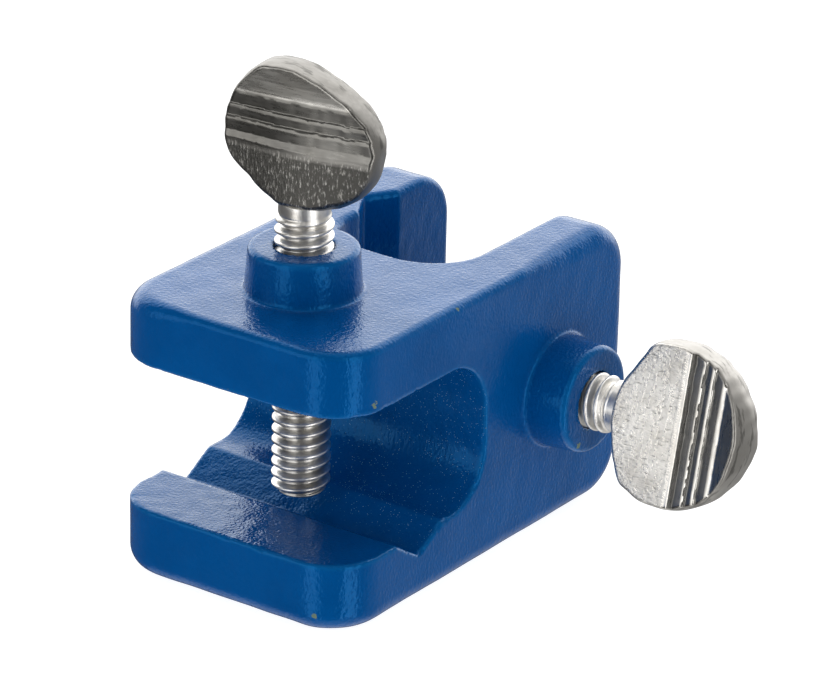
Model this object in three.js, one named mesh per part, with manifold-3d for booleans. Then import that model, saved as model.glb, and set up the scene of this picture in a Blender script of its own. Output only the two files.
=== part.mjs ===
// Boss head for laboratory stand rods. One casting has two C-shaped jaws, back to
// back and at right angles. Each jaw has a V-groove for a rod in its lip arm, and a
// thumb screw through the arm opposite, which presses the rod into the groove.
//
// Millimetres, +Z up. The origin is the middle of the flat underside of the casting.
// The front jaw opens towards -Y and holds a rod that lies along X; its screw points
// up. The back jaw opens towards +Y and holds a rod that stands along Z; its screw
// points along +X.
import * as THREE from "three";
import { mergeVertices } from "three/addons/utils/BufferGeometryUtils.js";
import Module from "manifold-3d";

// Casting
const WIDTH = 31.5; // X
const DEPTH = 52.3; // Y
const HEIGHT = 32; // Z
const EDGE_RADIUS = 2.5; // long outer edges
const CORNER_RADIUS = 6.2; // corners of the arms at the two mouths

// Jaw section: depth is measured in from the mouth, rise from the middle of the
// casting towards the screw.
const ROOF_RISE = 8.7; // underside of the arm that carries the screw
const LIP_RISE = -7.95; // top of the lip, in front of the groove
const SHELF_RISE = -8.1; // floor behind the groove
const GROOVE_RISE = -10.5; // bottom of the V-groove
const GROOVE_HALF_WIDTH = 4.15;
const SCREW_DEPTH = 13.5; // axis of the screw, over the bottom of the groove
const JAW_DEPTH = 25.3;
const FLOOR_RADIUS = 6; // floor to back wall
const ROOF_RADIUS = 6.4; // roof to back wall

// Bosses that the screws run through
const BOSS_HEIGHT = 5.03;
const BOSS_BASE_RADIUS = 6.33;
const BOSS_TOP_RADIUS = 5.95;
const BOSS_RIM = 0.45; // rounded rim of the boss
const BOSS_ROOT = 1; // how far the boss reaches into the arm

// Screws: 1/4 inch Whitworth, 20 threads to the inch
const THREAD_DIAMETER = 6.35;
const PITCH = 1.27;
const THREAD_HEIGHT = 0.6403 * PITCH;
const NECK_RADIUS = THREAD_DIAMETER / 2 - THREAD_HEIGHT / 2; // rolled thread: blank at pitch diameter
const TIP_RADIUS = 2.4;
const TIP_CHAMFER = 0.85;
const THREAD_END = 30.5; // measured from the tip
const RUN_OUT = 1.1;
const NECK_END = 32.6;
const TANG_RADIUS = 1.2; // tang inside the cast head
const TANG_LENGTH = 7.4;
const CLEARANCE = 0.3; // between pieces that fit each other

// Thumb heads
const HEAD_THICKNESS = 4.2;
const HEAD_RADIUS = 9.35;
const HEAD_HEIGHT = 15.3;
const HEAD_BEVEL = 0.4;
const SHOULDER_INNER = 2.4; // the underside slopes from here ...
const SHOULDER_OUTER = 7.6; // ... to here, ...
const SHOULDER_RISE = 2.7; // ... rising by this much
const CHEEK_DROP = 1.4; // the round end runs this far below its centre ...
const CHEEK_CURL = 0.6; // ... and curls into the shoulder this far above it
const COLLAR_RADIUS = 2.85;
const COLLAR_WAIST = 0.1; // radius lost over the collar's lowest quarter
const COLLAR_TOP_RADIUS = 1.9; // where the collar has sunk into the plate
const COLLAR_HEIGHT = 4.2;
const RIDGE_GROOVES = [8.2, 10.2, 12.2]; // heights of the three grooves of the grip
const RIDGE_GROOVE_HALF_WIDTH = 0.7;
const RIDGE_GROOVE_DEPTH = 0.6;

// Where the screws stand
const TOP_HEAD_GAP = 4.65; // boss face to the underside of the head
const SIDE_HEAD_GAP = 3.95;
const TOP_HEAD_TURN = THREE.MathUtils.degToRad(8.1);
const SIDE_HEAD_TURN = THREE.MathUtils.degToRad(76.6);

const ARC_STEPS = 5;
const ROUND_STEPS = 32;
const THREAD_SIDES = 16;
const ROWS_PER_PITCH = 4;

const wasm = await Module();
wasm.setup();

const X = new THREE.Vector3(1, 0, 0);
const Y = new THREE.Vector3(0, 1, 0);
const Z = new THREE.Vector3(0, 0, 1);

const bluePaint = new THREE.MeshStandardMaterial({ color: 0x0a4c93, roughness: 0.35, metalness: 0 });
const nickel = new THREE.MeshStandardMaterial({ color: 0xc3beb4, roughness: 0.28, metalness: 1 });

function solid(geometry, matrix = new THREE.Matrix4()) {
  const bare = geometry.clone().applyMatrix4(matrix);
  bare.deleteAttribute("normal");
  bare.deleteAttribute("uv");
  const merged = mergeVertices(bare, 1e-4);
  return new wasm.Manifold(new wasm.Mesh({
    numProp: 3,
    vertProperties: Float32Array.from(merged.attributes.position.array),
    triVerts: Uint32Array.from(merged.index.array),
  }));
}

function namedMesh(name, shape, material, matrix = new THREE.Matrix4()) {
  const { vertProperties, triVerts } = shape.getMesh();
  const geometry = new THREE.BufferGeometry();
  geometry.setAttribute("position", new THREE.BufferAttribute(vertProperties, 3));
  geometry.setIndex(new THREE.BufferAttribute(triVerts, 1));
  geometry.computeVertexNormals();
  const mesh = new THREE.Mesh(geometry, material);
  mesh.name = name;
  mesh.applyMatrix4(matrix);
  return mesh;
}

// A frame whose own x, y and z point along the given vectors, moved to a place.
function frameAt(x, y, z, place = new THREE.Vector3()) {
  return new THREE.Matrix4().makeBasis(x, y, z).setPosition(place);
}

function extrude(shape, length) {
  return new THREE.ExtrudeGeometry(shape, { depth: length, bevelEnabled: false, curveSegments: ARC_STEPS });
}

// Rectangle from (0, 0) with one radius for the two corners at x = 0, another at x = width.
function roundedRectangle(width, height, nearRadius, farRadius) {
  const shape = new THREE.Shape();
  const quarter = Math.PI / 2;
  shape.absarc(nearRadius, nearRadius, nearRadius, 2 * quarter, 3 * quarter);
  shape.absarc(width - farRadius, farRadius, farRadius, 3 * quarter, 4 * quarter);
  shape.absarc(width - farRadius, height - farRadius, farRadius, 0, quarter);
  shape.absarc(nearRadius, height - nearRadius, nearRadius, quarter, 2 * quarter);
  shape.closePath();
  return shape;
}

// Block with every outer edge rounded: the common part of three extruded outlines.
function roundedBlock() {
  const left = new THREE.Vector3(-WIDTH / 2, -DEPTH / 2, 0);
  const plan = roundedRectangle(DEPTH, WIDTH, CORNER_RADIUS, EDGE_RADIUS);
  const side = roundedRectangle(DEPTH, HEIGHT, EDGE_RADIUS, CORNER_RADIUS);
  const front = roundedRectangle(HEIGHT, WIDTH, EDGE_RADIUS, EDGE_RADIUS);
  const right = left.clone().add(new THREE.Vector3(WIDTH, 0, 0));
  const planSolid = solid(extrude(plan, HEIGHT), frameAt(Y, X.clone().negate(), Z, right));
  const sideSolid = solid(extrude(side, WIDTH), frameAt(Y, Z, X, left));
  const frontSolid = solid(extrude(front, DEPTH), frameAt(Z, X, Y, left));
  return planSolid.intersect(sideSolid).intersect(frontSolid);
}

// Everything inside one jaw, in (depth, rise), from outside the mouth to the back wall.
function jawShape() {
  const outside = -CORNER_RADIUS;
  const quarter = Math.PI / 2;
  const shape = new THREE.Shape();
  shape.moveTo(outside, LIP_RISE);
  shape.lineTo(SCREW_DEPTH - GROOVE_HALF_WIDTH, LIP_RISE);
  shape.lineTo(SCREW_DEPTH, GROOVE_RISE);
  shape.lineTo(SCREW_DEPTH + GROOVE_HALF_WIDTH, SHELF_RISE);
  shape.absarc(JAW_DEPTH - FLOOR_RADIUS, SHELF_RISE + FLOOR_RADIUS, FLOOR_RADIUS, -quarter, 0);
  shape.absarc(JAW_DEPTH - ROOF_RADIUS, ROOF_RISE - ROOF_RADIUS, ROOF_RADIUS, 0, quarter);
  shape.lineTo(outside, ROOF_RISE);
  shape.closePath();
  return shape;
}

function boss() {
  const profile = [
    [0, -BOSS_ROOT],
    [BOSS_BASE_RADIUS, -BOSS_ROOT],
    [BOSS_BASE_RADIUS, 0],
    [BOSS_TOP_RADIUS, BOSS_HEIGHT - BOSS_RIM],
    [BOSS_TOP_RADIUS - BOSS_RIM, BOSS_HEIGHT],
    [0, BOSS_HEIGHT],
  ].map(([radius, height]) => new THREE.Vector2(radius, height));
  // LatheGeometry turns about its own y, which becomes the axis of the screw.
  return new THREE.LatheGeometry(profile, ROUND_STEPS).rotateX(Math.PI / 2);
}

function rod(radius, from, to) {
  const geometry = new THREE.CylinderGeometry(radius, radius, to - from, ROUND_STEPS);
  return geometry.rotateX(Math.PI / 2).translate(0, 0, (from + to) / 2);
}

// Frame of each screw: z along its axis away from the jaw, origin on the boss's seat.
const topSeat = new THREE.Vector3(0, SCREW_DEPTH - DEPTH / 2, HEIGHT);
const sideSeat = new THREE.Vector3(WIDTH / 2, DEPTH / 2 - SCREW_DEPTH, HEIGHT / 2);
const topTurned = new THREE.Vector3(Math.cos(TOP_HEAD_TURN), Math.sin(TOP_HEAD_TURN), 0);
const sideTurned = new THREE.Vector3(0, Math.cos(SIDE_HEAD_TURN), Math.sin(SIDE_HEAD_TURN));

function screwFrame(axis, across, seat, distance) {
  const place = seat.clone().addScaledVector(axis, distance);
  return frameAt(across, axis.clone().cross(across), axis, place);
}

function casting() {
  const left = new THREE.Vector3(-WIDTH, -DEPTH / 2, HEIGHT / 2);
  const frontJaw = solid(extrude(jawShape(), 2 * WIDTH), frameAt(Y, Z, X, left));
  const below = new THREE.Vector3(0, DEPTH / 2, -HEIGHT / 2);
  const backJaw = solid(extrude(jawShape(), 2 * HEIGHT), frameAt(Y.clone().negate(), X, Z, below));
  const hole = rod(THREAD_DIAMETER / 2 + CLEARANCE, -HEIGHT / 3, 2 * BOSS_HEIGHT);
  const topFrame = screwFrame(Z, X, topSeat, 0);
  const sideFrame = screwFrame(X, Y, sideSeat, 0);
  return roundedBlock()
    .add(solid(boss(), topFrame))
    .add(solid(boss(), sideFrame))
    .subtract(frontJaw)
    .subtract(backJaw)
    .subtract(solid(hole, topFrame))
    .subtract(solid(hole, sideFrame));
}

// Radius of the threaded stud at a height above its tip and an angle about its axis.
function studRadius(height, angle) {
  const turns = height / PITCH - angle / (2 * Math.PI);
  const wave = 0.5 - 0.5 * Math.cos(2 * Math.PI * turns);
  const thread = THREAD_DIAMETER / 2 - THREAD_HEIGHT * wave;
  const fade = THREE.MathUtils.clamp((THREAD_END + RUN_OUT - height) / RUN_OUT, 0, 1);
  const chamfer = TIP_RADIUS + (THREAD_DIAMETER / 2 - TIP_RADIUS) * (height / TIP_CHAMFER);
  return Math.min(NECK_RADIUS + (thread - NECK_RADIUS) * fade, Math.max(chamfer, TIP_RADIUS));
}

// Right-handed threaded stud, tip at the origin, with a tang that sits in the cast head.
function studGeometry() {
  const rings = [];
  const rowCount = Math.ceil(NECK_END / (PITCH / ROWS_PER_PITCH));
  for (let row = 0; row <= rowCount; row++) {
    const height = (NECK_END * row) / rowCount;
    rings.push({ height, radius: (angle) => studRadius(height, angle) });
  }
  rings.push({ height: NECK_END, radius: () => TANG_RADIUS });
  rings.push({ height: NECK_END + TANG_LENGTH, radius: () => TANG_RADIUS });

  const points = [];
  const triangles = [];
  for (const ring of rings) {
    for (let side = 0; side < THREAD_SIDES; side++) {
      const angle = (2 * Math.PI * side) / THREAD_SIDES;
      const radius = ring.radius(angle);
      points.push(radius * Math.cos(angle), radius * Math.sin(angle), ring.height);
    }
  }
  const tipCentre = rings.length * THREAD_SIDES;
  points.push(0, 0, 0);
  const endCentre = tipCentre + 1;
  points.push(0, 0, NECK_END + TANG_LENGTH);
  const lastRing = (rings.length - 1) * THREAD_SIDES;
  for (let side = 0; side < THREAD_SIDES; side++) {
    const next = (side + 1) % THREAD_SIDES;
    for (let row = 0; row < rings.length - 1; row++) {
      const low = row * THREAD_SIDES;
      const high = low + THREAD_SIDES;
      triangles.push(low + side, low + next, high + next);
      triangles.push(low + side, high + next, high + side);
    }
    triangles.push(tipCentre, next, side);
    triangles.push(endCentre, lastRing + side, lastRing + next);
  }
  const geometry = new THREE.BufferGeometry();
  geometry.setAttribute("position", new THREE.Float32BufferAttribute(points, 3));
  geometry.setIndex(triangles);
  return geometry;
}

// Outline of the thumb head in (across, up), with the underside's middle at the origin.
function headOutline() {
  const centreHeight = HEAD_HEIGHT - HEAD_RADIUS;
  const startAngle = -Math.asin(CHEEK_DROP / HEAD_RADIUS);
  const startX = HEAD_RADIUS * Math.cos(startAngle);
  const startY = centreHeight - CHEEK_DROP;
  const shape = new THREE.Shape();
  shape.moveTo(-SHOULDER_INNER, 0);
  shape.lineTo(SHOULDER_INNER, 0);
  shape.lineTo(SHOULDER_OUTER, SHOULDER_RISE);
  shape.quadraticCurveTo(startX, SHOULDER_RISE + CHEEK_CURL, startX, startY);
  shape.absarc(0, centreHeight, HEAD_RADIUS, startAngle, Math.PI - startAngle);
  shape.quadraticCurveTo(-startX, SHOULDER_RISE + CHEEK_CURL, -SHOULDER_OUTER, SHOULDER_RISE);
  shape.closePath();
  return shape;
}

// Cast thumb head: a flat plate with a round outer end, three grooves across each face
// and a collar at the neck, with a socket for the stud's tang.
function thumbHead() {
  const plate = new THREE.ExtrudeGeometry(headOutline(), {
    depth: HEAD_THICKNESS - 2 * HEAD_BEVEL,
    bevelEnabled: true,
    bevelThickness: HEAD_BEVEL,
    bevelSize: HEAD_BEVEL,
    bevelOffset: -HEAD_BEVEL,
    bevelSegments: 2,
    curveSegments: 3 * ARC_STEPS,
  });
  const faceOffset = new THREE.Vector3(0, HEAD_THICKNESS / 2 - HEAD_BEVEL, 0);
  let head = solid(plate, frameAt(X, Z, Y.clone().negate(), faceOffset));

  const collar = [
    [0, 0],
    [COLLAR_RADIUS, 0],
    [COLLAR_RADIUS - COLLAR_WAIST, COLLAR_HEIGHT / 4],
    [COLLAR_TOP_RADIUS, COLLAR_HEIGHT],
    [0, COLLAR_HEIGHT],
  ].map(([radius, height]) => new THREE.Vector2(radius, height));
  head = head.add(solid(new THREE.LatheGeometry(collar, ROUND_STEPS).rotateX(Math.PI / 2)));

  // A V-shaped cutter, whose section is (out from the face, up).
  const cutter = new THREE.Shape();
  const beyond = 1;
  const reach = RIDGE_GROOVE_HALF_WIDTH * (1 + beyond / RIDGE_GROOVE_DEPTH);
  cutter.moveTo(-RIDGE_GROOVE_DEPTH, 0);
  cutter.lineTo(beyond, -reach);
  cutter.lineTo(beyond, reach);
  cutter.closePath();
  const cutterGeometry = extrude(cutter, 3 * HEAD_RADIUS);
  const end = 1.5 * HEAD_RADIUS;
  for (const height of RIDGE_GROOVES) {
    const back = new THREE.Vector3(-end, HEAD_THICKNESS / 2, height);
    const front = new THREE.Vector3(end, -HEAD_THICKNESS / 2, height);
    head = head.subtract(solid(cutterGeometry, frameAt(Y, Z, X, back)));
    head = head.subtract(solid(cutterGeometry, frameAt(Y.clone().negate(), Z, X.clone().negate(), front)));
  }
  return head.subtract(solid(rod(TANG_RADIUS + CLEARANCE, -1, TANG_LENGTH)));
}

const studLength = NECK_END + CLEARANCE; // tip to the underside of the head
const stud = solid(studGeometry());
const head = thumbHead();

const topHeadFrame = screwFrame(Z, topTurned, topSeat, BOSS_HEIGHT + TOP_HEAD_GAP);
const topStudFrame = screwFrame(Z, topTurned, topSeat, BOSS_HEIGHT + TOP_HEAD_GAP - studLength);
const sideHeadFrame = screwFrame(X, sideTurned, sideSeat, BOSS_HEIGHT + SIDE_HEAD_GAP);
const sideStudFrame = screwFrame(X, sideTurned, sideSeat, BOSS_HEIGHT + SIDE_HEAD_GAP - studLength);

const group = new THREE.Group();
group.name = "boss_head";
group.add(namedMesh("body_casting", casting(), bluePaint));
group.add(namedMesh("top_screw_stud", stud, nickel, topStudFrame));
group.add(namedMesh("top_screw_head", head, nickel, topHeadFrame));
group.add(namedMesh("side_screw_stud", stud, nickel, sideStudFrame));
group.add(namedMesh("side_screw_head", head, nickel, sideHeadFrame));

export default group;
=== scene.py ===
# Boss head for laboratory stand rods: the looks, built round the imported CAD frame.
#
# Shapes are worked out in millimetres as distance fields: a function that is negative
# inside the metal and zero on its surface. Rounded joins and edges are exact that way.
# Each field becomes a closed quad mesh, in metres, in the CAD frame.
import math

import bpy
import numpy as np
from mathutils import Matrix, Vector


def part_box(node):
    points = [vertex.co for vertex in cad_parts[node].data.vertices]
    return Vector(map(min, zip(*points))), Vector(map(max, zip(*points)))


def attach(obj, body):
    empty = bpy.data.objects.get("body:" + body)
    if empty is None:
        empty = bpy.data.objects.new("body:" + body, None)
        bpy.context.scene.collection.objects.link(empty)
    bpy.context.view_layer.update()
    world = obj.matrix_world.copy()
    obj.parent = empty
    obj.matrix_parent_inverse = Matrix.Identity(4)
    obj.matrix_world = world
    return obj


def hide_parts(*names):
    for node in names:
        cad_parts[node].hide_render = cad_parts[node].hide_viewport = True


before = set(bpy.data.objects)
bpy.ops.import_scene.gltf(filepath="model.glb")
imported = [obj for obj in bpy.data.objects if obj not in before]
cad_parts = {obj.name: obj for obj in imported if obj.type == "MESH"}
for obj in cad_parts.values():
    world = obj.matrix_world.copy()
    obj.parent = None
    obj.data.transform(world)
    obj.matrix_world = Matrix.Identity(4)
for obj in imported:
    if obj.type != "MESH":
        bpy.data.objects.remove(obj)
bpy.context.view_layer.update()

MM = 0.001
body_low, body_high = (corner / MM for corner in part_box("body_casting"))

# Casting, in mm
BOSS_HEIGHT = 5.03
WIDTH = -2 * body_low.x
DEPTH = body_high.y - body_low.y
HEIGHT = body_high.z - BOSS_HEIGHT
EDGE_RADIUS = 2.3  # long outer edges
TOP_EDGE_RADIUS = 1.0  # the top ones near the front and right, which look sharper
SHARP_ALONG_Y = (14, 6)  # they begin to be sharper at the first, and fully are at the second
SHARP_ALONG_X = (-15, -4)
SHARP_ALONG_Z = (HEIGHT - 1.3 * EDGE_RADIUS, HEIGHT - 0.3 * EDGE_RADIUS)
CORNER_RADIUS = 6.2  # corners of the front arms
PRONG_RADIUS = 5.7  # ends of the back prongs
JAW_EDGE_RADIUS = 0.4
PRONG_EDGE_RADIUS = 0.9
NICK_GROWTH = 0.6  # how much wider the front jaw's edge is where it is nicked
NICK_WAVES = (0.4, 1.4)  # the edge ripples that make a nick, from its start to its full size
CASTING_STEP = 0.36  # mesh spacing
EDGE_SHARPNESS = (0.07, 0.17)  # where the paint begins to be worn and painted paler as a highlight, and where it fully is
OVERLAP = 1  # how far a groove or a hole reaches into the open jaw

# Jaw section: depth in from the mouth, rise from the middle towards the screw
ROOF_RISE = 8.7
LIP_RISE = -7.95
PRONG_ROOF_RISE = 8.9  # the same two walls of the back jaw
PRONG_LIP_RISE = -8.25
SHELF_RISE = -8.1
GROOVE_RISE = -10.5
GROOVE_HALF_WIDTH = 4.15
GROOVE_BOTTOM_RADIUS = 0.25
GROOVE_FILLET = 0.12
SCREW_DEPTH = 13.5
JAW_DEPTH = 25.3
FLOOR_RADIUS = 6
ROOF_RADIUS = 6.4
SPECK_DEPTHS = (SCREW_DEPTH, SCREW_DEPTH + 3)  # pale specks begin behind the screw
JAW_SKIN = 0.25  # metal this near a jaw counts as its wall

# Bosses and their holes
BOSS_BASE_RADIUS = 6.33
BOSS_TOP_RADIUS = 5.95
BOSS_RIM = 0.55
BOSS_FILLET = 0.4
HOLE_RADIUS = 3.19
HOLE_EDGE = 0.08

# Screws
THREAD_RADIUS = 3.175
PITCH = 1.27
THREAD_HEIGHT = 0.6403 * PITCH
NECK_RADIUS = 2.8
TIP_RADIUS = 2.4
TIP_CHAMFER = 0.85
THREAD_END = 30.9  # from the tip
RUN_OUT = 1.1
FLANK = (0.14, 0.86)  # where the flank begins and ends, from the crest's middle to the root's
# How dark the thread's roots are painted: painted shade
THREAD_ROOT_SHADE = 0.38
STUD_END = 33.2  # inside the head
HEAD_FROM_TIP = 32.3
THREAD_SIDES = 72
ROWS_PER_PITCH = 18

# Thumb heads
RIM_BULGE = 0.25  # the rim is crowned by this much
HEAD_EDGE = 0.35
CHEEK_RADIUS = 0.8
SHOULDER_INNER = 2.4
SHOULDER_BEND = 1.4
FLAT_BEND = 3.5
HEAD_STEP = 0.17
HEAD_MARGIN = 1
FACE_NORMALS = (0.65, 0.9)  # share of a normal along the head's thickness, from rim to face
# Section of the grip, from the underside up: height, depth below the face, and how dark it is painted, for
# dirt and for shade in its grooves
GRIP_HEIGHTS = (7.5, 8.1, 9.1, 9.35, 9.55, 10.3, 10.6, 10.75, 11.9, 12.3, 12.4, 15.3)
GRIP_DEPTHS = (0, 0.3, 0.16, 0.22, 0.4, 0.24, 0.3, 0.46, 0.26, 0.34, 0.34, 0.34)
GRIP_STAINS_AND_SHADE = (0, 0.9, 0.65, 0, 0.9, 0.65, 0, 0.9, 0.7, 0, 0, 0)
CROWN = GRIP_HEIGHTS[-2]  # where the flat part beyond the grip begins
GRIP_SOFTNESS = 0.3  # over this height the painted dark reflection of the grip fades out
CROWN_SOFTNESS = 0.2
ROUGH_BELOW = (GRIP_HEIGHTS[0] - 0.3, GRIP_HEIGHTS[0] - 0.8)  # the scratched lower face

NET_ROUNDS = 4  # steps that draw the points of a mesh onto the surface
LEAST_SLOPE = 0.2  # squared slope of a field under which these steps grow no longer

SEED = 11


# ---- distance fields -------------------------------------------------------

def length(*parts):
    return np.sqrt(sum(part * part for part in parts))


def fade(value, start, end):
    """0 before start, 1 past end and even between them. End may be below start."""
    return np.clip((value - start) / (end - start), 0, 1)


def both(a, b, radius):
    """Where a and b are both negative, with the edge between them rounded."""
    rounding = length(np.maximum(a + radius, 0), np.maximum(b + radius, 0))
    return np.minimum(-radius, np.maximum(a, b)) + rounding


def either(a, b, radius):
    """Where a or b is negative, with a fillet between them."""
    return -both(-a, -b, radius)


def line(x, y, start, end):
    """Signed distance to the line from start to end, positive on its right."""
    along = np.subtract(end, start) / np.hypot(*np.subtract(end, start))
    return (x - start[0]) * along[1] - (y - start[1]) * along[0]


def make_ripples(count, shortest, longest, height, seed):
    """Random waves, the sum of which makes a cast surface slightly uneven."""
    random = np.random.default_rng(seed)
    directions = random.normal(size=(count, 3))
    directions /= np.linalg.norm(directions, axis=1)[:, None]
    lengths = random.uniform(shortest, longest, count)
    phases = random.uniform(0, 2 * math.pi, count)
    return directions * (2 * math.pi / lengths)[:, None], phases, height / math.sqrt(count)


def ripple(x, y, z, waves):
    vectors, phases, height = waves
    return height * sum(np.sin(v[0] * x + v[1] * y + v[2] * z + p) for v, p in zip(vectors, phases))


CAST_RIPPLES = make_ripples(14, 3.0, 9.0, 0.016, SEED)
JAW_RIPPLES = make_ripples(18, 1.3, 3.2, 0.016, SEED + 1)
EDGE_RIPPLES = make_ripples(16, 1.2, 4.5, 1.0, SEED + 3)
GRIP_RIPPLES = make_ripples(9, 1.1, 4.0, 0.045, SEED + 4)
HEAD_RIPPLES = make_ripples(14, 1.6, 5.0, 0.07, SEED + 2)


def jaw(depth, rise, roof, lip):
    """The empty space of a jaw."""
    floor = np.where(depth < SCREW_DEPTH, lip, np.minimum(lip, SHELF_RISE))
    low = both(floor - rise, depth - JAW_DEPTH, FLOOR_RADIUS)
    high = both(rise - roof, depth - JAW_DEPTH, ROOF_RADIUS)
    bottom = (SCREW_DEPTH, GROOVE_RISE)
    fore = line(depth, rise, (SCREW_DEPTH - GROOVE_HALF_WIDTH, LIP_RISE), bottom)
    aft = line(depth, rise, bottom, (SCREW_DEPTH + GROOVE_HALF_WIDTH, SHELF_RISE))
    groove = np.maximum(both(fore, aft, GROOVE_BOTTOM_RADIUS), rise - SHELF_RISE - OVERLAP)
    return either(np.maximum(low, high), groove, GROOVE_FILLET)


def boss(radial, height):
    wall = radial - BOSS_BASE_RADIUS - (BOSS_TOP_RADIUS - BOSS_BASE_RADIUS) * height / BOSS_HEIGHT
    return np.maximum(both(wall, height - BOSS_HEIGHT, BOSS_RIM), -height - 2 * BOSS_FILLET)


def hole(radial, height):
    arm = HEIGHT / 2 - ROOF_RISE
    return np.maximum(radial - HOLE_RADIUS, -height - arm - OVERLAP)


def casting(x, y, z):
    plan = both(np.abs(x) - WIDTH / 2, -y - DEPTH / 2, CORNER_RADIUS)
    side = both(np.abs(z - HEIGHT / 2) - HEIGHT / 2, y - DEPTH / 2, PRONG_RADIUS)
    sharpening = fade(y, *SHARP_ALONG_Y) * fade(x, *SHARP_ALONG_X) * fade(z, *SHARP_ALONG_Z)
    solid = both(plan, side, EDGE_RADIUS + (TOP_EDGE_RADIUS - EDGE_RADIUS) * sharpening)
    top_radial = length(x, y + DEPTH / 2 - SCREW_DEPTH)
    side_radial = length(y - DEPTH / 2 + SCREW_DEPTH, z - HEIGHT / 2)
    screws = ((top_radial, z - HEIGHT), (side_radial, x - WIDTH / 2))
    for radial, height in screws:
        solid = either(solid, boss(radial, height), BOSS_FILLET)
    solid = solid + ripple(x, y, z, CAST_RIPPLES)
    rough = ripple(x, y, z, JAW_RIPPLES)
    front = jaw(y + DEPTH / 2, z - HEIGHT / 2, ROOF_RISE, LIP_RISE)
    back = jaw(DEPTH / 2 - y, x, PRONG_ROOF_RISE, PRONG_LIP_RISE)
    nicked = 1 + NICK_GROWTH * fade(ripple(x, y, z, EDGE_RIPPLES), *NICK_WAVES)
    solid = both(solid, rough - front, JAW_EDGE_RADIUS * nicked)
    solid = both(solid, rough - back, PRONG_EDGE_RADIUS)
    for radial, height in screws:
        solid = both(solid, -hole(radial, height), HOLE_EDGE)
    return solid


def grip_height(head, across, up):
    """Place up the section of the grip, whose ribs are a little wavy."""
    return (up - head["grip_base"]) / head["grip_scale"] + ripple(across, 0, 0.2 * up, GRIP_RIPPLES)


def thumb_head(head):
    """Field of a thumb head: across, out from the middle plane, up from the underside."""
    def field(across, out, up):
        half = (head["thin"] + (head["thick"] - head["thin"]) * fade(up, 0, head["height"])) / 2
        disc = length(across, up - head["height"] + head["radius"]) - head["radius"]
        disc = both(disc, line(across, up, *head["flat"]), FLAT_BEND)
        under = -up
        for side, (reach, rise) in zip((1, -1), head["shoulders"]):
            slope = line(side * across, up, (SHOULDER_INNER, 0), (reach, rise))
            under = both(under, slope, SHOULDER_BEND)
        outline = both(disc, under, CHEEK_RADIUS) + RIM_BULGE * (out / half) ** 2
        swell = np.exp(-(across / head["belly_width"]) ** 2) * fade(up, head["belly_height"], 0)
        place = grip_height(head, across, up)
        grip = np.interp(place, GRIP_HEIGHTS, GRIP_DEPTHS)
        grip = grip - head["crown_slope"] * np.maximum(place - CROWN, 0)
        face = np.abs(out) - half - head["belly"] * swell + grip
        return both(outline + ripple(across, out, up, HEAD_RIPPLES), face, HEAD_EDGE)
    return field


# ---- meshes ----------------------------------------------------------------

def gradient(field, points, reach=0.02):
    slopes = []
    for axis in range(3):
        offset = np.zeros(3)
        offset[axis] = reach
        ahead = field(*(points + offset).T)
        behind = field(*(points - offset).T)
        slopes.append((ahead - behind) / (2 * reach))
    return np.array(slopes).T


def sharpness(field, points, normals, reach=0.4):
    """How strongly the surface bends away: about the reach over four times the edge radius."""
    first = np.cross(normals, (0.31, 0.52, 0.79))
    first /= np.linalg.norm(first, axis=1)[:, None]
    second = np.cross(normals, first)
    total = 0
    for offset in (first, -first, second, -second):
        total = total + field(*(points + reach * offset).T)
    return total / (4 * reach)


def surface_net(field, low, high, step):
    """Points and quads of the closed surface where the field is zero."""
    low = np.array(low, float)
    axes = [np.arange(a, b + step, step) for a, b in zip(low, high)]
    grid = np.array(field(*np.meshgrid(*axes, indexing="ij", sparse=True)))
    inside = grid < 0
    corners = np.zeros([n - 1 for n in grid.shape], np.uint8)
    for i in (0, 1):
        for j in (0, 1):
            for k in (0, 1):
                corners += inside[
                    i:inside.shape[0] - 1 + i, j:inside.shape[1] - 1 + j, k:inside.shape[2] - 1 + k
                ]
    mixed = (corners > 0) & (corners < 8)
    index = np.full(mixed.shape, -1, np.int64)
    cells = np.argwhere(mixed)
    index[mixed] = np.arange(len(cells))

    total = np.zeros((len(cells), 3))
    count = np.zeros(len(cells))
    for axis in range(3):
        for j in (0, 1):
            for k in (0, 1):
                start = cells.copy()
                start[:, (axis + 1) % 3] += j
                start[:, (axis + 2) % 3] += k
                end = start.copy()
                end[:, axis] += 1
                a = grid[tuple(start.T)]
                b = grid[tuple(end.T)]
                crossed = (a < 0) != (b < 0)
                point = start[crossed].astype(float)
                point[:, axis] += (a / np.where(crossed, a - b, 1))[crossed]
                total[crossed] += point
                count += crossed
    points = total / count[:, None] * step + low

    quads = []
    for axis in range(3):
        after = np.take(inside, range(1, inside.shape[axis]), axis)
        before = np.take(inside, range(inside.shape[axis] - 1), axis)
        edge = np.argwhere(before != after)
        second = np.eye(3, dtype=int)[(axis + 1) % 3]
        third = np.eye(3, dtype=int)[(axis + 2) % 3]
        ring = [edge - second - third, edge - third, edge, edge - second]
        quad = np.array([index[tuple(cell.T)] for cell in ring]).T
        outward = before[tuple(edge.T)]
        quad[~outward] = quad[~outward][:, ::-1]
        quads.append(quad)

    for _ in range(NET_ROUNDS):
        slope = gradient(field, points)
        value = field(*points.T)
        move = slope * (value / np.maximum((slope ** 2).sum(1), LEAST_SLOPE))[:, None]
        points -= np.clip(move, -step / 2, step / 2)
    return points, np.concatenate(quads)


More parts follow.
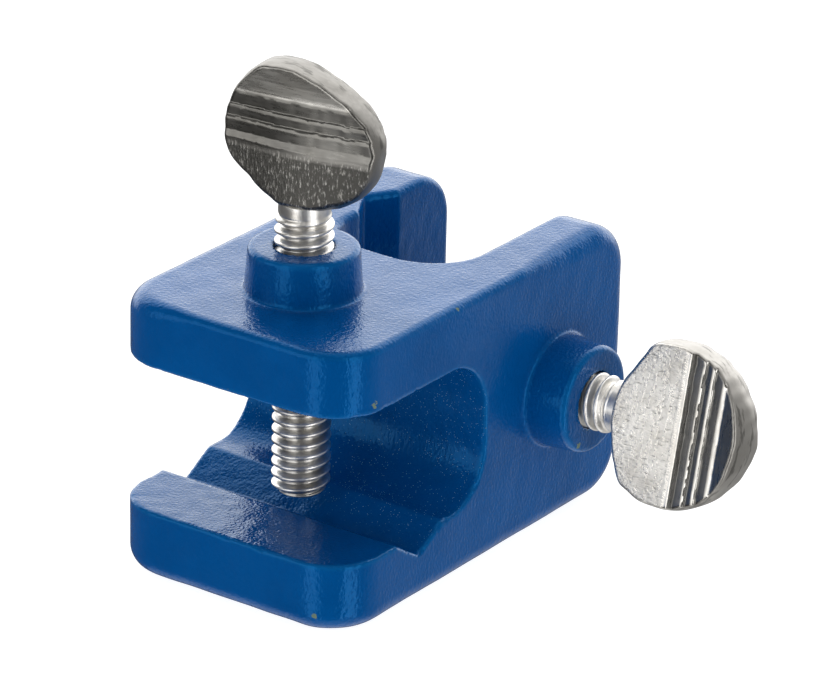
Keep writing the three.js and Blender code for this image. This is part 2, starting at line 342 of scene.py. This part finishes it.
def new_piece(name, points, faces, normals, place, body, nodes, values=None):
    """Adds a mesh with its own normals and, per point, any named values its material reads."""
    place = np.array(place, float)
    own = points * MM
    points = points @ place[:3, :3].T + place[:3, 3]
    mesh = bpy.data.meshes.new(name)
    mesh.from_pydata((points * MM).tolist(), [], faces.tolist())
    mesh.update()
    mesh.polygons.foreach_set("use_smooth", [True] * len(mesh.polygons))
    if normals is not None:
        normals = normals @ place[:3, :3].T
        normals /= np.linalg.norm(normals, axis=1)[:, None]
        mesh.normals_split_custom_set_from_vertices(normals.tolist())
    for key, value in (values or {}).items():
        attribute = mesh.attributes.new(key, "FLOAT", "POINT")
        attribute.data.foreach_set("value", np.asarray(value, np.float32))
    attribute = mesh.attributes.new("own_place", "FLOAT_VECTOR", "POINT")
    attribute.data.foreach_set("vector", own.astype(np.float32).ravel())
    piece = bpy.data.objects.new(name, mesh)
    bpy.context.scene.collection.objects.link(piece)
    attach(piece, body)
    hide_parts(*nodes)
    return piece


def screw_place(across, axis, base):
    """Matrix of a screw's own frame: x across its head, z out along its axis."""
    across = Vector(across)
    rotation = Matrix((across, axis.cross(across), axis)).transposed().to_4x4()
    return Matrix.Translation(base) @ rotation


def casting_piece():
    margin = 3 * CASTING_STEP
    low = [value - margin for value in body_low]
    high = [value + margin for value in body_high]
    points, faces = surface_net(casting, low, high, CASTING_STEP)
    normals = gradient(casting, points)
    depth = points[:, 1] + DEPTH / 2
    inside = -jaw(depth, points[:, 2] - HEIGHT / 2, ROOF_RISE, LIP_RISE)
    values = {
        "jaw_inside": fade(inside, -JAW_SKIN, 0) * fade(depth, *SPECK_DEPTHS),
        "edge": fade(sharpness(casting, points, normals), *EDGE_SHARPNESS),
    }
    return new_piece("casting_shell", points, faces, normals, Matrix.Identity(4), "casting",
                     ["body_casting"], values)


def thread_profile(turns):
    """Depth of the thread from its crest, 0 to 1, with rounded crest and root."""
    wave = np.abs((turns + 0.5) % 1 - 0.5) * 2
    flank = fade(wave, *FLANK)
    return flank * flank * (3 - 2 * flank)


def stud_radius(height, angle):
    turns = height / PITCH - angle / (2 * math.pi)
    thread = THREAD_RADIUS - THREAD_HEIGHT * thread_profile(turns)
    threaded = fade(height, THREAD_END + RUN_OUT, THREAD_END)
    radius = NECK_RADIUS + (thread - NECK_RADIUS) * threaded
    chamfer = TIP_RADIUS + (THREAD_RADIUS - TIP_RADIUS) * height / TIP_CHAMFER
    return np.minimum(radius, np.maximum(chamfer, TIP_RADIUS))


def stud_piece(name, place, body, node):
    """Right-handed threaded stud from its tip up into the head, which it turns with."""
    rows = int(STUD_END / PITCH * ROWS_PER_PITCH)
    heights = np.linspace(0, STUD_END, rows)[:, None]
    angles = np.linspace(0, 2 * math.pi, THREAD_SIDES, endpoint=False)[None, :]
    radius = stud_radius(heights, angles)
    ring = np.stack([radius * np.cos(angles), radius * np.sin(angles), heights + 0 * radius], -1)
    points = ring.reshape(-1, 3)
    row, side = np.meshgrid(np.arange(rows - 1), np.arange(THREAD_SIDES), indexing="ij")
    after = (side + 1) % THREAD_SIDES
    low, high = row * THREAD_SIDES, (row + 1) * THREAD_SIDES
    faces = np.stack([low + side, low + after, high + after, high + side], -1).reshape(-1, 4).tolist()
    faces.append(list(range(THREAD_SIDES))[::-1])
    faces.append(list(range((rows - 1) * THREAD_SIDES, rows * THREAD_SIDES)))
    # The thread's roots are painted darker, as painted shade
    deep = fade(radius, THREAD_RADIUS, THREAD_RADIUS - THREAD_HEIGHT) * (heights < THREAD_END)
    return new_piece(name, points, np.array(faces, dtype=object), None, place, body,
                     [node], {"stain_and_shade": THREAD_ROOT_SHADE * deep.ravel()})


def head_piece(name, place, body, node, head):
    field = thumb_head(head)
    reach = head["radius"] + HEAD_MARGIN
    low = (-reach, -head["thick"], -HEAD_MARGIN)
    high = (reach, head["thick"], head["height"] + HEAD_MARGIN)
    points, faces = surface_net(field, low, high, HEAD_STEP)
    normals = gradient(field, points)
    section = grip_height(head, points[:, 0], points[:, 2])
    on_face = fade(np.abs(normals[:, 1]), *FACE_NORMALS)
    lower = fade(section, *ROUGH_BELOW)
    # Darkening of the metal: dirt and painted shade in the grip's grooves, painted dark reflections on the
    # grip, lower face and crown, and a darker rim
    stain_and_shade = np.interp(section, GRIP_HEIGHTS, GRIP_STAINS_AND_SHADE)
    stain_and_shade = np.maximum(stain_and_shade, head["grip_dark_reflection"] * fade(section, CROWN, CROWN - GRIP_SOFTNESS))
    stain_and_shade = np.maximum(stain_and_shade, head["lower_dark_reflection"] * lower)
    stain_and_shade = np.maximum(stain_and_shade, head["crown_dark_reflection"] * fade(section, CROWN, CROWN + CROWN_SOFTNESS))
    stain_and_shade = head["rim_darkening"] + (stain_and_shade - head["rim_darkening"]) * on_face
    return new_piece(name, points, faces, normals, place, body, [node],
                     {"rough_cast": lower * on_face, "stain_and_shade": stain_and_shade, "rim": 1 - on_face})


# ---- materials -------------------------------------------------------------

class Nodes:
    """A node tree, with short calls for adding nodes to it."""

    def __init__(self, tree):
        self.tree = tree

    def add(self, kind, settings=None, **inputs):
        node = self.tree.nodes.new("ShaderNode" + kind)
        for key, value in (settings or {}).items():
            setattr(node, key, value)
        for key, value in inputs.items():
            self.connect(node.inputs[key.replace("_", " ")], value)
        return node

    def connect(self, socket, value):
        if isinstance(value, bpy.types.NodeSocket):
            self.tree.links.new(value, socket)
        else:
            socket.default_value = value

    def noise(self, where, size_mm, detail=2.0, roughness=0.5):
        """Noise from 0 to 1 with lumps of about this size."""
        scale = 1 / (size_mm * MM)
        node = self.add("TexNoise", Vector=where, Scale=scale, Detail=detail, Roughness=roughness)
        return node.outputs["Fac"]

    def stretched(self, where, x, y, z):
        return self.add("Mapping", Vector=where, Scale=(x, y, z)).outputs["Vector"]

    def ramp(self, value, low, high, to_low=0.0, to_high=1.0):
        node = self.add("MapRange", {"interpolation_type": "SMOOTHSTEP"}, Value=value)
        for key, number in (("From Min", low), ("From Max", high), ("To Min", to_low), ("To Max", to_high)):
            node.inputs[key].default_value = number
        return node.outputs["Result"]

    def math(self, operation, a, b=0.0):
        node = self.add("Math", {"operation": operation})
        self.connect(node.inputs[0], a)
        self.connect(node.inputs[1], b)
        return node.outputs["Value"]

    def vector_math(self, operation, a, b):
        node = self.add("VectorMath", {"operation": operation})
        self.connect(node.inputs[0], a)
        self.connect(node.inputs[1], b)
        return node.outputs["Value"]

    def mix(self, share, a, b):
        node = self.add("Mix", {"data_type": "RGBA"})
        self.connect(node.inputs["Factor"], share)
        self.connect(node.inputs[6], a)
        self.connect(node.inputs[7], b)
        return node.outputs[2]

    def value(self, name):
        return self.add("Attribute", {"attribute_name": name}).outputs["Fac"]

    def own_place(self):
        return self.add("Attribute", {"attribute_name": "own_place"}).outputs["Vector"]

    def bump(self, height, distance_mm, under=None):
        node = self.add("Bump", Height=height, Strength=1.0, Distance=distance_mm * MM)
        if under is not None:
            self.connect(node.inputs["Normal"], under)
        return node.outputs["Normal"]


def new_material(name):
    material = bpy.data.materials.new(name)
    material.use_nodes = True
    return material, Nodes(material.node_tree), material.node_tree.nodes["Principled BSDF"]


BLUE = (0.0001, 0.067, 0.248, 1)
DEEP_BLUE = (0.0001, 0.060, 0.226, 1)
# Paler blue for edges: thin worn paint, and a painted highlight along them
WORN_AND_HIGHLIGHT_BLUE = (0.006, 0.14, 0.36, 1)
PRIMER = (0.17, 0.20, 0.08, 1)
# Chipped places on the casting, in mm, and the size of each
CHIPS = (
    (15.6, -6.5, 31.6, 0.45),
    (15.7, -21.2, 25.8, 0.7),
    (11.7, -25.7, 2.1, 0.5),
    (20.8, 9.7, 11.6, 0.5),
)
DUST = (0.16, 0.30, 0.45, 1)
PIGMENT_GLOSS = (0.05, 0.45, 1.0, 1)  # the coat's gloss is tinted where it is seen square on


def paint():
    material, n, shader = new_material("blue_epoxy_coat")
    place = n.own_place()
    # Orange peel, drawn out downwards on the walls, over the lumps of the casting
    drawn = n.stretched(place, 1, 1, 0.65)
    peel = n.noise(drawn, 0.35, 1.5, 0.5)
    lumps = n.noise(place, 2.2, 2.0, 0.5)
    normal = n.bump(lumps, 0.025)
    normal = n.bump(peel, 0.062, normal)
    # Colour: slightly uneven coat, paler on edges where it is thin and as a painted highlight, a few chips
    # and specks
    cloud = n.noise(place, 7.0, 3.0, 0.6)
    colour = n.mix(n.ramp(cloud, 0.35, 0.65), DEEP_BLUE, BLUE)
    edge = n.value("edge")
    # Edges painted paler: partly wear, partly painted highlight
    colour = n.mix(n.math("MULTIPLY", edge, 0.25), colour, WORN_AND_HIGHLIGHT_BLUE)
    ragged = n.noise(place, 0.5, 3.0, 0.65)
    chip = n.math("MULTIPLY", n.ramp(n.noise(place, 1.7, 3.0, 0.65), 0.705, 0.73), n.ramp(edge, 0.1, 0.5))
    for x, y, z, size in CHIPS:
        away = n.vector_math("DISTANCE", place, (x * MM, y * MM, z * MM))
        away = n.math("ADD", away, n.math("MULTIPLY", ragged, 2 * size * MM))
        chip = n.math("MAXIMUM", chip, n.ramp(away, 1.6 * size * MM, 1.4 * size * MM))
    colour = n.mix(n.math("MULTIPLY", chip, 0.8), colour, PRIMER)
    dots = n.add("TexVoronoi", Vector=place, Scale=1 / (0.27 * MM), Randomness=1.0).outputs["Distance"]
    speck = n.math("MULTIPLY", n.ramp(dots, 0.22, 0.12), n.value("jaw_inside"))
    speck = n.math("MULTIPLY", speck, n.ramp(n.noise(place, 0.9, 3.0, 0.6), 0.44, 0.56))
    colour = n.mix(speck, colour, DUST)
    n.connect(shader.inputs["Base Color"], colour)
    rough = n.ramp(n.noise(place, 1.6, 3.0, 0.6), 0.3, 0.7, 0.10, 0.17)
    rough = n.math("MAXIMUM", rough, n.math("MULTIPLY", n.math("MAXIMUM", chip, speck), 0.6))
    n.connect(shader.inputs["Roughness"], rough)
    n.connect(shader.inputs["Normal"], normal)
    shader.inputs["Specular Tint"].default_value = PIGMENT_GLOSS
    return material


NICKEL = (0.77, 0.745, 0.70, 1)
BRIGHT_NICKEL = (0.93, 0.91, 0.87, 1)
DULL_NICKEL = (0.64, 0.61, 0.56, 1)
RIM_NICKEL = (0.38, 0.365, 0.34, 1)
# Dark colour for stains, and for painted shade and painted dark reflections on the screws
DARK_STAIN_AND_SHADE = (0.10, 0.097, 0.088, 1)
# A fleck of the casting's paint on the end of the screw, in mm
FLECK = (0.87, -2.5, 0.45)
FLECK_SIZE = 0.3


def nickel(name, clean):
    """Slightly cloudy metal: the material, its nodes, its shader, the place and the colour."""
    material, n, shader = new_material(name)
    shader.inputs["Metallic"].default_value = 1.0
    place = n.own_place()
    cloud = n.noise(place, 3.0, 4.0, 0.6)
    return material, n, shader, place, n.mix(n.ramp(cloud, 0.35, 0.7), clean, DULL_NICKEL)


def cast_nickel():
    material, n, shader, place, colour = nickel("nickel_cast", NICKEL)
    rim = n.value("rim")
    rough_cast = n.value("rough_cast")
    colour = n.mix(rim, colour, RIM_NICKEL)
    seam = n.ramp(n.noise(n.stretched(place, 0.4, 1.3, 0.4), 1.3, 3.0, 0.6), 0.54, 0.64)
    colour = n.mix(n.math("MULTIPLY", seam, n.math("MULTIPLY", rim, 0.7)), colour, DARK_STAIN_AND_SHADE)
    # Scratches show through the stain, painted shade and painted dark reflection of the lower faces
    grain = n.noise(n.stretched(place, 1, 1, 0.3), 0.22, 3.0, 0.65)
    bright = n.math("MULTIPLY", n.ramp(grain, 0.52, 0.70), rough_cast)
    pits = n.math("MULTIPLY", n.ramp(grain, 0.42, 0.33), rough_cast)
    shown = n.math("SUBTRACT", 1.0, n.math("MULTIPLY", bright, 0.7))
    stain_and_shade = n.math("MULTIPLY", n.value("stain_and_shade"), shown)
    stain_and_shade = n.math("MAXIMUM", stain_and_shade, n.math("MULTIPLY", pits, 0.55))
    # Stains, painted shade and painted dark reflections darken the metal
    n.connect(shader.inputs["Base Color"], n.mix(stain_and_shade, colour, DARK_STAIN_AND_SHADE))
    # The lower faces keep a drawn, scratched grain; the grip is smooth with streaks across it
    streaks = n.noise(n.stretched(place, 0.12, 1, 1), 0.3, 3.0, 0.6)
    smooth = n.math("SUBTRACT", 1.0, rough_cast)
    normal = n.bump(n.math("MULTIPLY", grain, rough_cast), 0.11)
    normal = n.bump(n.math("MULTIPLY", streaks, smooth), 0.012, normal)
    rough = n.math("ADD", n.ramp(streaks, 0.3, 0.7, 0.16, 0.26), n.math("MULTIPLY", rough_cast, 0.08))
    rough = n.math("ADD", rough, n.math("MULTIPLY", rim, 0.2))
    rough = n.math("ADD", rough, n.math("MULTIPLY", stain_and_shade, 0.12))
    n.connect(shader.inputs["Roughness"], rough)
    n.connect(shader.inputs["Normal"], normal)
    return material


def thread_nickel():
    material, n, shader, place, colour = nickel("nickel_thread", BRIGHT_NICKEL)
    # Roots of the thread darkened: painted shade
    colour = n.mix(n.value("stain_and_shade"), colour, DARK_STAIN_AND_SHADE)
    away = n.vector_math("DISTANCE", place, [value * MM for value in FLECK])
    colour = n.mix(n.ramp(away, FLECK_SIZE * MM, 0.7 * FLECK_SIZE * MM), colour, BLUE)
    n.connect(shader.inputs["Base Color"], colour)
    fine = n.noise(place, 0.35, 3.0, 0.6)
    n.connect(shader.inputs["Roughness"], n.ramp(fine, 0.3, 0.7, 0.30, 0.42))
    n.connect(shader.inputs["Normal"], n.bump(fine, 0.012))
    return material


# ---- the pieces ------------------------------------------------------------

def low_corner(node):
    """Lowest corner of a CAD node's box, in mm."""
    low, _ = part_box(node)
    return low / MM


TOP_TURN = math.radians(8.1)
SIDE_TURN = math.radians(76.6)
top_tip = Vector((0, SCREW_DEPTH - DEPTH / 2, low_corner("top_screw_stud").z))
side_tip = Vector((low_corner("side_screw_stud").x, DEPTH / 2 - SCREW_DEPTH, HEIGHT / 2))
# Tip of each screw, the direction out along its axis, and the one across its head
SCREWS = {
    "top": (top_tip, Vector((0, 0, 1)), (math.cos(TOP_TURN), math.sin(TOP_TURN), 0)),
    "side": (side_tip, Vector((1, 0, 0)), (0, math.cos(SIDE_TURN), math.sin(SIDE_TURN))),
}
# The two heads differ in the photo, so each has its own sizes, in mm
HEADS = {
    "top": {
        "radius": 9.0, "height": 17.0, "thin": 2.4, "thick": 4.9,
        "flat": ((8.3, 12.75), (-1, 17.1)),
        "shoulders": ((7.8, 2.9), (8.6, 4.8)),
        "belly": 1.75, "belly_width": 6.0, "belly_height": 14.0,
        "grip_base": -1.245, "grip_scale": 1.126, "crown_slope": 0.0,
        # Painted dark reflections on the grip, lower face and crown, and a darker rim, set for this head
        "grip_dark_reflection": 0.85, "lower_dark_reflection": 0.97, "crown_dark_reflection": 0.68, "rim_darkening": 0.4,
    },
    "side": {
        "radius": 9.15, "height": 16.1, "thin": 3.8, "thick": 4.6,
        "flat": ((20, 30), (-20, 30)),
        "shoulders": ((8.0, 3.2), (9.2, 2.5)),
        "belly": 1.1, "belly_width": 9.0, "belly_height": 7.8,
        "grip_base": 1.43, "grip_scale": 0.969, "crown_slope": 0.27,
        # Painted dark reflection on the crown, set for this head
        "grip_dark_reflection": 0.0, "lower_dark_reflection": 0.0, "crown_dark_reflection": 0.75, "rim_darkening": 0.0,
    },
}

shell = casting_piece()
shell.data.materials.append(paint())
thread_material = thread_nickel()
head_material = cast_nickel()
for side, (tip, axis, across) in SCREWS.items():
    body = side + "_head"
    stud = stud_piece(side + "_thread", screw_place(across, axis, tip), body, side + "_screw_stud")
    stud.data.materials.append(thread_material)
    base = tip + HEAD_FROM_TIP * axis
    head = head_piece(side + "_thumb_head", screw_place(across, axis, base), body, side + "_screw_head",
                      HEADS[side])
    head.data.materials.append(head_material)


# ---- studio ----------------------------------------------------------------

CAMERA_AZIMUTH = math.radians(35.026)
CAMERA_ELEVATION = math.radians(23.316)
CAMERA_ROLL = math.radians(1.348)
CAMERA_DISTANCE = 575.73 * MM
CAMERA_LENS = 233.1  # on a 36 mm sensor
AIM = Vector((0.25, -0.15, 16)) * MM
AIM_RIGHT = 4.148 * MM
AIM_UP = 4.347 * MM


def direction(azimuth, elevation):
    """Unit vector: azimuth 0 is -Y and 90 degrees is +X."""
    flat = math.cos(elevation)
    return Vector((math.sin(azimuth) * flat, -math.cos(azimuth) * flat, math.sin(elevation)))


def add_camera():
    back = direction(CAMERA_AZIMUTH, CAMERA_ELEVATION)
    level = Vector((math.cos(CAMERA_AZIMUTH), math.sin(CAMERA_AZIMUTH), 0))
    upright = back.cross(level)
    right = level * math.cos(CAMERA_ROLL) + upright * math.sin(CAMERA_ROLL)
    up = upright * math.cos(CAMERA_ROLL) - level * math.sin(CAMERA_ROLL)
    data = bpy.data.cameras.new("camera")
    data.lens = CAMERA_LENS
    data.sensor_width = 36
    camera = bpy.data.objects.new("camera", data)
    place = Matrix((right, up, back)).transposed().to_4x4()
    place.translation = AIM + right * AIM_RIGHT + up * AIM_UP + back * CAMERA_DISTANCE
    camera.matrix_world = place
    bpy.context.scene.collection.objects.link(camera)
    bpy.context.scene.camera = camera


FLOOR_HALF = 2.0
FLOOR_GLOW = 0.93  # the sheet is lit from below, like a light table
FLOOR_DROP = 0.05 * MM  # the casting stands on its lowest ripples


def add_floor():
    """A large plain pale sheet."""
    mesh = bpy.data.meshes.new("floor")
    signs = ((-1, -1), (1, -1), (1, 1), (-1, 1))
    corners = [(x * FLOOR_HALF, y * FLOOR_HALF, -FLOOR_DROP) for x, y in signs]
    mesh.from_pydata(corners, [], [(0, 1, 2, 3)])
    floor = bpy.data.objects.new("floor", mesh)
    bpy.context.scene.collection.objects.link(floor)
    material, _, shader = new_material("pale_floor")
    shader.inputs["Base Color"].default_value = (0.3, 0.3, 0.3, 1)
    shader.inputs["Roughness"].default_value = 0.9
    shader.inputs["Emission Color"].default_value = (1, 1, 1, 1)
    shader.inputs["Emission Strength"].default_value = FLOOR_GLOW
    mesh.materials.append(material)
    floor.visible_glossy = False


# Soft light round the object, in degrees: azimuth, half width, lowest, highest, softness, strength
SOFT_PANELS = (
    (-3, 11, -45, 45, 5, 2.0),
    (74, 12, -45, 45, 6, 2.7),
    (-30, 16, -5, 30, 5, 1.4),
    (-145, 58, -6, 62, 12, 2.45),
    (135, 30, -50, 60, 14, 0.3),
    (180, 20, -50, 0, 12, 0.4),
)
OVERHEAD = (66, 10, 1.0)  # from this elevation up: degrees, softness, strength
BENEATH = (-52, 9, 0.8)  # from this elevation down
DIM = 0.1  # added everywhere


def add_world():
    world = bpy.data.worlds.new("studio")
    world.use_nodes = True
    n = Nodes(world.node_tree)
    towards = n.add("TexCoord").outputs["Generated"]
    height = n.add("SeparateXYZ", Vector=towards).outputs["Z"]
    elevation = n.math("ARCSINE", height)

    def rise(low, soft):
        return n.ramp(elevation, math.radians(low - soft), math.radians(low + soft))

    low, soft, strength = OVERHEAD
    light = n.math("ADD", n.math("MULTIPLY", rise(low, soft), strength), DIM)
    high, soft, strength = BENEATH
    below = n.math("SUBTRACT", 1.0, rise(high, soft))
    light = n.math("ADD", light, n.math("MULTIPLY", below, strength))
    for azimuth, half, low, high, soft, strength in SOFT_PANELS:
        centre = direction(math.radians(azimuth), 0)
        right = direction(math.radians(azimuth + 90), 0)
        bearing = n.math("ARCTAN2", n.vector_math("DOT_PRODUCT", towards, right),
                         n.vector_math("DOT_PRODUCT", towards, centre))
        bearing = n.math("ABSOLUTE", bearing)
        panel = n.ramp(bearing, math.radians(half + soft), math.radians(half - soft), 0.0, strength)
        panel = n.math("MULTIPLY", panel, rise(low, soft))
        panel = n.math("MULTIPLY", panel, n.math("SUBTRACT", 1.0, rise(high, soft)))
        light = n.math("ADD", light, panel)
    background = world.node_tree.nodes["Background"]
    background.inputs["Color"].default_value = (1, 1, 1, 1)
    n.connect(background.inputs["Strength"], light)
    bpy.context.scene.world = world


add_camera()
add_floor()
add_world()
bpy.context.scene.view_settings.view_transform = "Standard"
